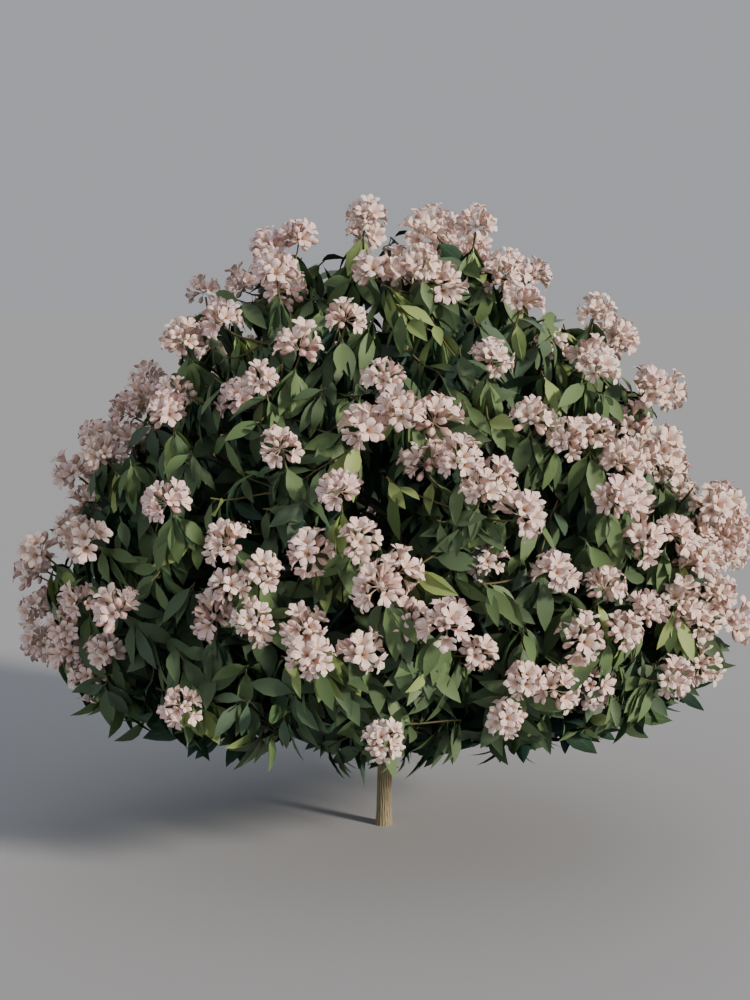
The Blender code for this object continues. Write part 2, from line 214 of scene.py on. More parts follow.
def planLimbs(masses):
    limbs = {}

    def grow(name, root, leave, mass, radii):
        start = masses[mass]["start"]
        facing = masses[mass]["facing"]
        reach = np.linalg.norm(start - root) * limbPlan["bend"]
        first = root + leave * limbPlan["collar"]
        last = start - facing * limbPlan["collar"]
        curve = bezier(first, first + leave * reach, last - facing * reach, last, limbPlan["points"])
        path = np.concatenate([root[None], curve, start[None]])
        limbs[name] = (path, np.linspace(*radii, len(path)))

    def sideLimb(mass, carrier, share):
        root, onward = along(limbs[carrier][0], share)
        leave = unit(onward * limbPlan["forward"] + unit(masses[mass]["start"] - root))
        grow("limb_" + mass, root, leave, mass, limbPlan["limbRadii"])

    rise = math.radians(limbPlan["boughRise"])
    for i, (side, (azimuth, height)) in enumerate(limbPlan["boughs"].items()):
        bough = "bough_" + side
        leave = levelSide(np.array(azimuth)) * math.cos(rise) + np.array([0.0, 0.0, math.sin(rise)])
        grow(bough, trunkAxis(height), leave, f"waist_{2 * i + 1:02d}", limbPlan["boughRadii"])
        for j, share in enumerate(limbPlan["skirtForks"]):
            sideLimb(f"skirt_{2 * i + j + 1:02d}", bough, share)
        sideLimb(f"waist_{2 * i + 2:02d}", bough, limbPlan["waistFork"])
    upright = np.array([0.0, 0.0, 1.0])
    grow("leader", trunkAxis(trunk["height"]), upright, "top_01", limbPlan["leaderRadii"])
    low, high = limbPlan["shoulderForks"]
    count = limbPlan["tiers"]["shoulder"][1]
    for i in range(count):
        share = low + (high - low) * ((i * 5) % count) / (count - 1)
        sideLimb(f"shoulder_{i + 1:02d}", "leader", share)
    sideLimb("top_02", "leader", limbPlan["topFork"])
    return limbs


# Meshes: a part is vertices, arrays of faces on them, a slot for each face and a corner UV.


def part(verts, faces, slots, uv=None):
    corners = np.concatenate([f.ravel() for f in faces])
    sizes = np.concatenate([np.full(len(f), f.shape[1]) for f in faces])
    slots = np.broadcast_to(np.asarray(slots, np.int32), sizes.shape)
    uv = np.zeros((len(corners), 2)) if uv is None else uv.reshape(-1, 2)
    return {"verts": verts, "corners": corners, "sizes": sizes, "slots": slots, "uv": uv}


def gridFaces(rows, columns, closed=False):
    # quads of a grid of points, row after row; a closed grid joins its last column to its first
    i, j = np.meshgrid(np.arange(rows - 1), np.arange(columns if closed else columns - 1), indexing="ij")
    k = (j + 1) % columns
    quads = [i * columns + j, i * columns + k, (i + 1) * columns + k, (i + 1) * columns + j]
    return np.stack([q.ravel() for q in quads], axis=1)


def tiled(verts, faces, frames, origins, sizes):
    # copies of a small mesh: each vertex times the copy's three sizes, turned by its frame, moved
    # to its origin
    moved = np.einsum("nvc,nck->nvk", verts * sizes[:, None], frames) + origins[:, None]
    offset = np.arange(len(origins))[:, None, None] * len(verts)
    return moved.reshape(-1, 3), (faces[None] + offset).reshape(-1, faces.shape[1])


def makePiece(name, parts, materials):
    start = np.cumsum([0] + [len(p["verts"]) for p in parts])
    verts = np.concatenate([p["verts"] for p in parts])
    corners = np.concatenate([p["corners"] + first for p, first in zip(parts, start)])
    sizes = np.concatenate([p["sizes"] for p in parts])
    starts = np.concatenate([[0], np.cumsum(sizes)[:-1]])
    mesh = bpy.data.meshes.new(name)
    mesh.vertices.add(len(verts))
    mesh.vertices.foreach_set("co", verts.astype(np.float32).ravel())
    mesh.loops.add(len(corners))
    mesh.loops.foreach_set("vertex_index", corners.astype(np.int32))
    mesh.polygons.add(len(sizes))
    mesh.polygons.foreach_set("loop_start", starts.astype(np.int32))
    mesh.polygons.foreach_set("loop_total", sizes.astype(np.int32))
    mesh.polygons.foreach_set("material_index", np.concatenate([p["slots"] for p in parts]))
    mesh.polygons.foreach_set("use_smooth", np.ones(len(sizes), bool))
    layer = mesh.uv_layers.new(name="surface")
    uv = np.concatenate([p["uv"] for p in parts])
    layer.data.foreach_set("uv", uv.astype(np.float32).ravel())
    for material in materials:
        mesh.materials.append(material)
    mesh.update(calc_edges=True)
    mesh.validate()
    piece = bpy.data.objects.new(name, mesh)
    bpy.context.scene.collection.objects.link(piece)
    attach(piece, "root")
    print(name, len(verts), "vertices,", int((sizes - 2).sum()), "triangles")
    return piece


def sweep(paths, radii, sides, relief=None):
    # tubes: around each point of each path a ring of the radius there, square to the path, with
    # both ends closed by a fan to a middle point; relief is taken off the radius
    tangent = unit(np.gradient(paths, axis=1))
    mean = unit(paths[:, -1] - paths[:, 0])
    guide = np.where(np.abs(mean[:, 2:]) < 0.8, [[0.0, 0.0, 1.0]], [[1.0, 0.0, 0.0]])
    across = unit(np.cross(tangent, guide[:, None]))
    up = np.cross(across, tangent)
    turn = np.linspace(0.0, 2 * np.pi, sides, endpoint=False)
    ring = across[:, :, None] * np.cos(turn)[:, None] + up[:, :, None] * np.sin(turn)[:, None]
    reach = radii[:, :, None] * np.ones(sides)
    if relief is not None:
        reach = reach - relief
    tubes, rings = paths.shape[:2]
    skin = (paths[:, :, None] + ring * reach[..., None]).reshape(tubes, -1, 3)
    verts = np.concatenate([skin, paths[:, :1], paths[:, -1:]], axis=1)
    wall = gridFaces(rings, sides, closed=True)[:, ::-1]
    j = np.arange(sides)
    foot = np.stack([np.full(sides, rings * sides), j, (j + 1) % sides], axis=1)[:, ::-1]
    base = (rings - 1) * sides
    top = np.stack([np.full(sides, rings * sides + 1), base + (j + 1) % sides, base + j], axis=1)
    offset = np.arange(tubes)[:, None, None] * verts.shape[1]
    quads = (wall[None] + offset).reshape(-1, 4)
    fans = (np.concatenate([foot, top[:, ::-1]])[None] + offset).reshape(-1, 3)
    return verts.reshape(-1, 3), (quads, fans)


# Trunk: short and stout, with a slight flare, upright ridges and dark cracks between them; the cracks'
# dark is partly their own colour and partly painted shade.
trunk = {
    "height": 0.255,
    "radius": 0.0200,
    "topRadius": 0.0185,
    "flare": 0.0030,
    "flareHeight": 0.020,
    "lean": 0.004,
    "rings": 200,
    "sides": 132,
    "ridges": 18,
    "crack": 0.0024,
    "crackSeed": 0.7,
}
# Boughs and limbs: rings and sides of each tube, its ridges, and the depth of a crack as a
# share of the radius.
limbBark = {
    "bark_boughs": {"rings": 80, "sides": 28, "ridges": 8, "depth": 0.10},
    "bark_limbs": {"rings": 48, "sides": 12, "ridges": 6, "depth": 0.08},
}


def trunkAxis(height):
    # the trunk's middle line at one height or at many
    height = np.asarray(height, float)
    return np.stack([trunk["lean"] * height / trunk["height"], 0 * height, height], axis=-1)


def crackPattern(turn, height, ridges, seed):
    # thin upright cracks where a sine of the angle, bent by slow sines of the height, passes
    # through nought; each fades out and in along its length, and finer ones show where it fades
    wander = 0.8 * np.sin(height * 34 + seed) + 0.5 * np.sin(height * 83 + 2.1 * seed + 2 * turn)
    wave = np.sin(turn * ridges / 2 + wander)
    upright = np.exp(-((wave / 0.42) ** 2))
    fading = 0.5 + 0.5 * np.sin(height * 115 + 3.0 * np.sin(4 * turn + seed) + 2.0 * np.sin(7 * turn))
    fine = np.sin(turn * ridges + 1.7 * np.sin(height * 71 + turn) + seed)
    fine = np.exp(-((fine / 0.36) ** 2))
    return np.maximum(upright * (0.45 + 0.55 * fading), 0.7 * fine * (1.0 - fading))


def addAttribute(piece, name, values):
    data = piece.data.attributes.new(name, "FLOAT", "POINT").data
    data.foreach_set("value", values.astype(np.float32))


def makeTrunk(material):
    rings = trunk["rings"]
    sides = trunk["sides"]
    height = np.linspace(0.0, trunk["height"], rings)
    turn = np.linspace(0.0, 2 * np.pi, sides, endpoint=False)
    radius = trunk["radius"] + (trunk["topRadius"] - trunk["radius"]) * height / trunk["height"]
    radius = radius + trunk["flare"] * np.exp(-height / trunk["flareHeight"])
    crack = crackPattern(turn[None], height[:, None], trunk["ridges"], trunk["crackSeed"])
    verts, faces = sweep(trunkAxis(height)[None], radius[None], sides, trunk["crack"] * crack[None])
    verts[:sides, 2] = 0.0
    piece = makePiece("bark_trunk", [part(verts, faces, 0)], [material])
    addAttribute(piece, "crack", np.concatenate([crack.ravel(), [0.0, 0.0]]))
    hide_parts("trunk")


def makeLimbs(name, limbs, material):
    bark = limbBark[name]
    paths = []
    radii = []
    for path, radius in limbs.values():
        steps = np.concatenate([[0.0], np.cumsum(np.linalg.norm(np.diff(path, axis=0), axis=1))])
        even = np.linspace(0.0, steps[-1], bark["rings"])
        paths.append(np.stack([np.interp(even, steps, path[:, k]) for k in range(3)], axis=1))
        radii.append(np.interp(even, steps, radius))
    paths = np.array(paths)
    radii = np.array(radii)
    turn = np.linspace(0.0, 2 * np.pi, bark["sides"], endpoint=False)
    length = np.cumsum(np.linalg.norm(np.gradient(paths, axis=1), axis=2), axis=1)
    seeds = np.arange(len(limbs))[:, None, None] * 1.3
    crack = crackPattern(turn[None, None], length[:, :, None], bark["ridges"], seeds)
    verts, faces = sweep(paths, radii, bark["sides"], crack * radii[:, :, None] * bark["depth"])
    piece = makePiece(name, [part(verts, faces, 0)], [material])
    values = np.concatenate([crack.reshape(len(limbs), -1), np.zeros((len(limbs), 2))], axis=1)
    addAttribute(piece, "crack", values.ravel())
    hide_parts(*limbs)


# Growth: every leading shoot carries a truss and sends out side shoots; leafy shoots fill the
# gaps between the trusses, and older leaves stand deeper in the crown.
growth = {
    "seed": 219,
    "sideTries": 24,
    "sideShoots": (0, 0, 0, 2, 3, 4, 5),
    "sideDistance": (0.078, 0.112),
    "sideDepth": (0.900, 1.015),
    "trussSpacing": 0.080,
    "trussStandOut": 0.012,
    "lowest": 0.41,
    "hem": 0.375,
    "drawUp": 0.8,
    "leafyTried": 900,
    "leafySpacing": 0.080,
    "leafyDepth": (0.020, 0.100),
    "innerTried": 540,
    "innerShare": (0.34, 0.86),
    "twigRadii": (0.0040, 0.0026),
    "sideRadii": (0.0027, 0.0020),
    "twigPoints": 7,
    "twigSides": 6,
    "stemPoints": 5,
    "stemSides": 8,
    "leadFork": 0.97,
    "leadForkStep": 0.13,
    "leadForks": 4,
    "forkShare": (0.45, 0.72),
    "innerFork": 0.5,
    "forward": 0.6,
    "settle": 0.8,
    "leafFloor": 0.31,
    "spare": 0.004,
}


def spreadOut(points, taken, spacing):
    # the points that stand clear of the taken ones and of each other, in their order
    kept = [np.asarray(p) for p in taken]
    fresh = []
    for index, point in enumerate(points):
        if np.min(np.linalg.norm(np.array(kept) - point, axis=1)) >= spacing:
            kept.append(point)
            fresh.append(index)
    return np.array(fresh, int)


def dealtDirections(count, lowest, turnOn):
    # directions by the golden angle, evenly spread from straight up down to a lowest rise
    k = np.arange(count)
    rise = 1.0 - (k + 0.5) / count * (1.0 - lowest)
    level = np.sqrt(1.0 - rise * rise)
    a = k * goldenTurn + turnOn
    return np.stack([level * np.sin(a), level * np.cos(a), rise], axis=1)


def growTips(leads):
    rng = np.random.default_rng(growth["seed"])
    tips = list(leads)
    for lead in leads:
        wanted = rng.choice(growth["sideShoots"])
        outward = unit(lead - crown["focus"])
        across = unit(np.cross(outward, rng.normal(size=(growth["sideTries"], 3))))
        far = rng.uniform(*growth["sideDistance"], (growth["sideTries"], 1))
        spots = onDome(lead + across * far - crown["focus"])
        depth = rng.uniform(*growth["sideDepth"], (len(spots), 1))
        spots = crown["focus"] + (spots - crown["focus"]) * depth
        for spot in spots:
            if wanted == 0:
                break
            clear = np.min(np.linalg.norm(np.array(tips) - spot, axis=1)) > growth["trussSpacing"]
            if clear and spot[2] > growth["lowest"]:
                tips.append(spot)
                wanted -= 1
    tips = np.array(tips)
    leafy = onDome(dealtDirections(growth["leafyTried"], 0.02, 0.4))
    depth = rng.uniform(*growth["leafyDepth"], (len(leafy), 1))
    leafy = leafy - unit(leafy - crown["focus"]) * depth
    leafy = leafy[spreadOut(leafy, tips, growth["leafySpacing"])]
    inner = onDome(dealtDirections(growth["innerTried"], -0.04, 1.3))
    share = rng.uniform(*growth["innerShare"], (len(inner), 1))
    inner = crown["focus"] + (inner - crown["focus"]) * share
    for shoots in (leafy, inner):
        # a shoot under the hem is drawn up close to it
        shoots[:, 2] -= growth["drawUp"] * np.minimum(shoots[:, 2] - growth["hem"], 0.0)
    print("trusses", len(tips), "leafy shoots", len(leafy), "inner shoots", len(inner))
    return tips, leafy, inner


def growTwigs(leads, tips, leafy, inner, masses):
    # each shoot is given to the mass whose middle is nearest; a leading twig runs from the mass's
    # stem to its tip, and any other twig leaves the nearest leading twig of its mass
    rng = np.random.default_rng(growth["seed"] + 1)
    names = list(masses)
    middles = np.array([masses[n]["middle"] for n in names])
    points = growth["twigPoints"]
    allTips = np.concatenate([tips, leafy, inner])
    outward = unit(allTips - crown["focus"])
    owner = np.argmin(np.linalg.norm(allTips[:, None] - middles[None], axis=2), axis=1)
    paths = np.zeros((len(allTips), points, 3))
    radii = np.zeros((len(allTips), points))
    order = np.zeros(len(names), int)
    for i in range(len(leads)):
        mass = masses[names[owner[i]]]
        share = growth["leadFork"] - growth["leadForkStep"] * (order[owner[i]] % growth["leadForks"])
        order[owner[i]] += 1
        fork = mass["start"] + (mass["end"] - mass["start"]) * share
        span = np.linalg.norm(allTips[i] - fork)
        leave = unit(mass["facing"] + unit(allTips[i] - fork))
        arrive = unit(outward[i] + unit(allTips[i] - fork))
        last = allTips[i] - arrive * span / 3
        paths[i] = bezier(fork, fork + leave * span / 3, last, allTips[i], points)
        radii[i] = np.linspace(*growth["twigRadii"], points)
    for i in range(len(leads), len(allTips)):
        own = np.flatnonzero(owner[: len(leads)] == owner[i])
        lead = own[np.argmin(np.linalg.norm(leads[own] - allTips[i], axis=1))]
        share = rng.uniform(*growth["forkShare"])
        if i >= len(tips) + len(leafy):
            share *= growth["innerFork"]
        fork, onward = along(paths[lead], share)
        span = np.linalg.norm(allTips[i] - fork)
        leave = unit(onward * growth["forward"] + unit(allTips[i] - fork))
        arrive = unit(outward[i] * growth["settle"] + unit(allTips[i] - fork))
        last = allTips[i] - arrive * span / 3
        paths[i] = bezier(fork, fork + leave * span / 3, last, allTips[i], points)
        radii[i] = np.linspace(*growth["sideRadii"], points)
    return paths, radii, owner


# Leaf: leathery, long oval with a short stalk, folded along its midrib and curled down.
leaf = {
    "length": 0.104,
    "width": 0.035,
    "rows": np.array([0.0, 0.12, 0.24, 0.42, 0.62, 0.82, 1.0]),
    "stalk": 0.12,
    "fold": 0.26,
    "curl": 0.50,
    "ripple": 0.0012,
    "turnScatter": 0.16,
    "faceScatter": 0.30,
    "faceUp": 0.35,
}


def leafSurfaces(origins, heading, normal, sizes, rng):
    # a leaf's point at a share s of its length and t of its width: the midline is an arc whose
    # turn is the curl, the half width is the sine of a power of s, and the edges rise by the fold
    count = len(origins)
    s = leaf["rows"]
    blade = np.clip((s - leaf["stalk"]) / (1.0 - leaf["stalk"]), 0.0, 1.0)
    profile = np.maximum(np.sin(np.pi * blade**0.88), 0.0)
    profile = np.maximum(profile, np.where(s < 0.5, 0.07, 0.015))
    width = leaf["width"] / 2 * sizes * rng.uniform(0.88, 1.14, count)
    length = leaf["length"] * sizes * rng.uniform(0.90, 1.10, count)
    curl = leaf["curl"] * rng.uniform(0.35, 1.5, count)
    fold = leaf["fold"] * rng.uniform(0.3, 1.7, count)
    wave = rng.uniform(0.0, 2 * np.pi, count)
    half = width[:, None] * profile
    y = np.stack([-half, 0.0 * half, half], axis=2)
    arc = curl[:, None] * s
    x = length[:, None] * np.sin(arc) / curl[:, None]
    drop = length[:, None] * (1.0 - np.cos(arc)) / curl[:, None]
    ripple = leaf["ripple"] * np.sin(9.0 * s + wave[:, None]) * profile
    z = fold[:, None, None] * np.abs(y) - drop[:, :, None] + ripple[:, :, None] * [1.0, 0.0, -1.0]
    side = np.cross(normal, heading)
    points = (
        origins[:, None, None]
        + heading[:, None, None] * x[:, :, None, None]
        + side[:, None, None] * y[..., None]
        + normal[:, None, None] * z[..., None]
    )
    return points.reshape(count, -1, 3)


def leafPart(points, tone):
    # faces and UV of all the leaves, the UV along the leaf and across it
    rows = len(leaf["rows"])
    faces = gridFaces(rows, 3)
    count = len(points)
    offset = np.arange(count)[:, None, None] * rows * 3
    slots = np.repeat(tone, len(faces))
    uv = np.stack([np.repeat(leaf["rows"], 3), np.tile([0.0, 0.5, 1.0], rows)], axis=1)[faces]
    uv = np.broadcast_to(uv, (count,) + uv.shape).reshape(-1, 4, 2)
    return part(points.reshape(-1, 3), [(faces[None] + offset).reshape(-1, 4)], slots, uv)


# Leaf tints in their order: painted sunlight, painted half shade, painted deep shade, painted bluish
# shade, and the young leaves' own yellow-green.
leafTints = ("leafSun", "leafPaintedHalfShade", "leafPaintedDeepShade", "leafPaintedBlueShade", "leafYoung")
# Whorls of leaves: how many leaves, how far below the shoot's tip, how far they lean back from
# the shoot in degrees, how much they hang, their size and the share of each leaf tint; as the
# tints are painted sun and shade, the deeper older and inner whorls take mostly painted shade.
whorls = {
    "flowering": {
        "leaves": 13,
        "below": (0.026, 0.066),
        "lean": (-4, 46),
        "hang": (0.60, 1.90),
        "size": (0.80, 1.20),
        "tones": (0.36, 0.20, 0.18, 0.20, 0.06),
    },
    "older": {
        "leaves": 8,
        "below": (0.090, 0.170),
        "lean": (-12, 30),
        "hang": (0.30, 1.20),
        "size": (0.98, 1.30),
        "tones": (0.04, 0.18, 0.38, 0.38, 0.02),
    },
    "leafy": {
        "leaves": 9,
        "below": (0.0, 0.050),
        "lean": (-26, 40),
        "hang": (0.35, 1.50),
        "size": (0.72, 1.18),
        "tones": (0.18, 0.22, 0.24, 0.26, 0.10),
    },
    "inner": {
        "leaves": 9,
        "below": (0.0, 0.070),
        "lean": (-40, 30),
        "hang": (0.1, 0.6),
        "size": (1.20, 1.55),
        "tones": (0.0, 0.0, 0.50, 0.50, 0.0),
    },
}


def growWhorls(kind, paths, rng):
    # leaves round each twig by the golden angle, from its tip downwards
    plan = whorls[kind]
    shoots = len(paths)
    count = plan["leaves"]
    tip = paths[:, -1]
    axis = unit(paths[:, -1] - paths[:, -2])
    side = unit(np.cross(axis, [[0.31, 0.22, 0.92]]))
    up = np.cross(side, axis)
    k = np.arange(count)
    turn = k * goldenTurn + rng.uniform(0.0, 2 * np.pi, (shoots, 1))
    turn = turn + rng.normal(0.0, leaf["turnScatter"], (shoots, count))
    spoke = side[:, None] * np.cos(turn)[..., None] + up[:, None] * np.sin(turn)[..., None]
    low, high = plan["below"]
    below = low + (high - low) * (k + 0.5) / count + rng.uniform(-0.003, 0.003, (shoots, count))
    reach = np.linalg.norm(paths[:, -1] - paths[:, 0], axis=1)
    below = np.minimum(below, 0.92 * reach[:, None])
    segment = np.linalg.norm(np.diff(paths, axis=1), axis=2)
    walked = np.concatenate([np.zeros((shoots, 1)), np.cumsum(segment[:, ::-1], axis=1)], axis=1)
    origins = np.zeros((shoots, count, 3))
    backwards = paths[:, ::-1]
    for i in range(shoots):
        for c in range(3):
            origins[i, :, c] = np.interp(below[i], walked[i], backwards[i, :, c])
    lean = np.radians(rng.uniform(*plan["lean"], (shoots, count)))[..., None]
    heading = spoke * np.cos(lean) - axis[:, None] * np.sin(lean)
    heading[..., 2] -= rng.uniform(*plan["hang"], (shoots, count))
    heading = unit(heading)
    face = axis[:, None] + rng.normal(0.0, leaf["faceScatter"], (shoots, count, 3))
    face = face + [0.0, 0.0, leaf["faceUp"]]
    normal = unit(face - heading * np.sum(face * heading, axis=-1, keepdims=True))
    sizes = rng.uniform(*plan["size"], (shoots, count))
    cuts = np.cumsum(plan["tones"])
    shootTone = rng.uniform(0.0, 1.0, (shoots, 1))
    # the leaves that face out of the plant are more often given the painted sunlit tint, the others the
    # painted shade tints; a random draw for each shoot and leaf mixes them
    outward = np.sum(heading * unit(tip * [1.0, 1.0, 0.0])[:, None], axis=-1)
    draw = 0.45 * shootTone + 0.25 * rng.uniform(0.0, 1.0, (shoots, count)) + 0.15 - 0.15 * outward
    draw = np.clip(draw, 0.0, 0.999)
    tone = np.minimum(np.searchsorted(cuts, draw.ravel()), len(cuts) - 1)
    points = leafSurfaces(
        origins.reshape(-1, 3), heading.reshape(-1, 3), normal.reshape(-1, 3), sizes.ravel(), rng
    )
    return points, tone, np.repeat(np.arange(shoots), count)


# Flower: five rounded lobes that part low down out of a short funnel, on a thin stalk; sizes in
# metres, heights from the truss's middle.
flower = {
    "lobes": 5,
    "steps": np.array([0.0, 0.25, 0.50, 0.76, 1.0]),
    "out": np.array([0.0025, 0.0070, 0.0120, 0.0184, 0.0250]),
    "rise": np.array([0.0240, 0.0350, 0.0455, 0.0500, 0.0496]),
    "half": np.array([0.0016, 0.0044, 0.0064, 0.0092, 0.0070]),
    "round": np.array([0.0, 0.0, 0.0004, 0.0016, 0.0062]),
    "parted": np.array([0.0, 0.0, 0.70, 1.0, 1.0]),
    "across": np.array([-1.0, -0.36, 0.36, 1.0]),
    "ruffle": 0.0016,
    "droop": 0.0022,
}
stalk = {
    "sides": 3,
    "levels": np.array([0.002, 0.015, 0.028]),
    "radii": np.array([0.00110, 0.00085, 0.00200]),
}
# Stamens: thin ribbons from the throat, leaning outwards, each with a short broad end.
stamen = {
    "count": 3,
    "turnOn": 0.5,
    "foot": (0.0010, 0.0340),
    "end": (0.0070, 0.0500),
    "anther": (0.0012, 0.0020),
    "half": 0.0005,
    "antherHalf": 0.0010,
}
# Bud: a plump spindle with pleats, twisted as it rises.
bud = {
    "sides": 8,
    "levels": np.array([0.0, 0.22, 0.50, 0.78, 0.95, 1.0]),
    "widths": np.array([0.30, 0.62, 0.98, 0.92, 0.48, 0.05]),
    "foot": 0.020,
    "length": 0.029,
    "radius": 0.0076,
    "pleat": 0.10,
    "twist": 1.1,
}
# Truss: one flower on its axis and rings of flowers and buds round it; each ring's number,
# angle from the axis in degrees, share of open flowers, and size.
truss = {
    "rings": ((1, 5.0, 1.0, 1.10), (6, 46.0, 0.76, 1.0), (7, 81.0, 0.62, 1.0), (2, 112.0, 0.4, 0.92)),
    "sizes": (0.88, 1.16),
    "flowerSizes": (0.88, 1.10),
    "halfOpenShare": 0.28,
    "halfOpenWidth": 0.74,
    "otherTint": 0.3,
    "scatter": 0.13,
    "stagger": 0.0040,
    "sag": 0.05,
    "upward": 0.55,
}
# The blossom's materials in their order; a petal has one of the first three, its middle the
# fourth and its throat the fifth.
blossomTints = (
    "petalPale",
    "petalBlush",
    "petalRose",
    "petalFlush",
    "petalThroat",
    "budRose",
    "budPale",
    "pedicel",
    "anther",
)
tintSlot = {name: slot for slot, name in enumerate(blossomTints)}


def flowerTemplate():
    # a lobe's point at a step out and a share across: in the funnel the lobes share a cone, and
    # where they have parted the point is the half width times the share to the side
    rows = len(flower["steps"])
    columns = len(flower["across"])
    v = flower["across"][None]
    out = flower["out"][:, None]
    wedge = np.pi / flower["lobes"] * v
    cone = np.stack([out * np.cos(wedge), out * np.sin(wedge)], axis=2)
    spread = np.stack([out - flower["round"][:, None] * v * v, flower["half"][:, None] * v], axis=2)
    parted = flower["parted"][:, None, None]
    plane = cone * (1.0 - parted) + spread * parted
    lobes = []
    for number in range(flower["lobes"]):
        a = number * 2 * np.pi / flower["lobes"]
        x = plane[..., 0] * np.cos(a) - plane[..., 1] * np.sin(a)
        y = plane[..., 0] * np.sin(a) + plane[..., 1] * np.cos(a)
        ripple = flower["ruffle"] * np.sin(2.6 * v + 1.7 * number) - flower["droop"] * v * v
        z = flower["rise"][:, None] + ripple * flower["parted"][:, None]
        lobes.append(np.stack([x, y, z], axis=2).reshape(-1, 3))
    faces = [gridFaces(rows, columns) + n * rows * columns for n in range(flower["lobes"])]
    row = np.tile(np.repeat(np.arange(rows - 1), columns - 1), flower["lobes"])
    u = np.tile(np.repeat(flower["steps"], columns), flower["lobes"])
    w = np.tile((flower["across"] + 1) / 2, rows * flower["lobes"])
    faces = np.concatenate(faces)
    return np.concatenate(lobes), faces, row, np.stack([u, w], axis=1)[faces]


def stalkTemplate():
    turn = np.arange(stalk["sides"]) * 2 * np.pi / stalk["sides"]
    ring = np.stack([np.cos(turn), np.sin(turn), 0 * turn], axis=1)
    verts = [ring * radius + [0.0, 0.0, z] for radius, z in zip(stalk["radii"], stalk["levels"])]
    return np.concatenate(verts), gridFaces(len(verts), stalk["sides"], closed=True)


def stamenTemplate():
    verts = []
    for n in range(stamen["count"]):
        a = stamen["turnOn"] + n * 2 * np.pi / stamen["count"]
        outAndUp = np.array([[np.cos(a), np.sin(a), 0.0], [0.0, 0.0, 1.0]])
        side = np.array([-np.sin(a), np.cos(a), 0.0])
        foot = np.array(stamen["foot"]) @ outAndUp
        end = np.array(stamen["end"]) @ outAndUp
        tip = end + np.array(stamen["anther"]) @ outAndUp
        for low, high, half in ((foot, end, stamen["half"]), (end, tip, stamen["antherHalf"])):
            verts += [low - side * half, low + side * half, high + side * half, high - side * half]
    faces = np.arange(len(verts)).reshape(-1, 4)
    return np.array(verts), faces, np.tile([tintSlot["pedicel"], tintSlot["anther"]], stamen["count"])


def budTemplate():
    sides = bud["sides"]
    turn = np.arange(sides) * 2 * np.pi / sides
    pleats = 1.0 + bud["pleat"] * np.where(np.arange(sides) % 2 == 0, 1.0, -1.0)
    verts = []
    for level, width in zip(bud["levels"], bud["widths"]):
        a = turn + bud["twist"] * level
        r = bud["radius"] * width * pleats
        z = bud["foot"] + bud["length"] * level
        verts.append(np.stack([r * np.cos(a), r * np.sin(a), 0 * a + z], axis=1))
    faces = gridFaces(len(verts), sides, closed=True)
    stripes = np.where(np.arange(sides) % 2 == 0, tintSlot["budRose"], tintSlot["budPale"])
    return np.concatenate(verts), faces, np.tile(stripes, len(verts) - 1)


def framesFor(axis, spin):
    # right-handed frames whose third row is the axis, turned about it by the spin
    guide = np.where(np.abs(axis[:, 2:]) < 0.9, [[0.0, 0.0, 1.0]], [[1.0, 0.0, 0.0]])
    side = unit(np.cross(guide, axis))
    up = np.cross(axis, side)
    c = np.cos(spin)[:, None]
    s = np.sin(spin)[:, None]
    return np.stack([side * c + up * s, up * c - side * s, axis], axis=1)


def flowerRays(axes, rng):
    # flowers and buds stand on rays from each truss's middle; a ray's ring sets how far it leans
    # from the axis, and the rings are turned against each other
    count = len(axes)
    numbers, angles, openShares, scales = (np.array(column) for column in zip(*truss["rings"]))
    lean = np.radians(np.repeat(angles, numbers))
    n = len(lean)
    around = [(np.arange(number) + 0.3 * ring) / number for ring, number in enumerate(numbers)]
    far = lean + rng.normal(0.0, truss["scatter"], (count, n)) * (lean > 0)
    turn = np.concatenate(around) * 2 * np.pi + rng.uniform(0.0, 2 * np.pi, (count, 1))
    turn = turn + rng.normal(0.0, truss["scatter"], (count, n))
    side, up, axis = np.moveaxis(framesFor(axes, np.zeros(count))[:, None], 2, 0)
    level = side * np.cos(turn)[..., None] + up * np.sin(turn)[..., None]
    rays = level * np.sin(far)[..., None] + axis * np.cos(far)[..., None]
    rays[..., 2] -= truss["sag"]
    return unit(rays).reshape(-1, 3), np.repeat(openShares, numbers), np.repeat(scales, numbers)


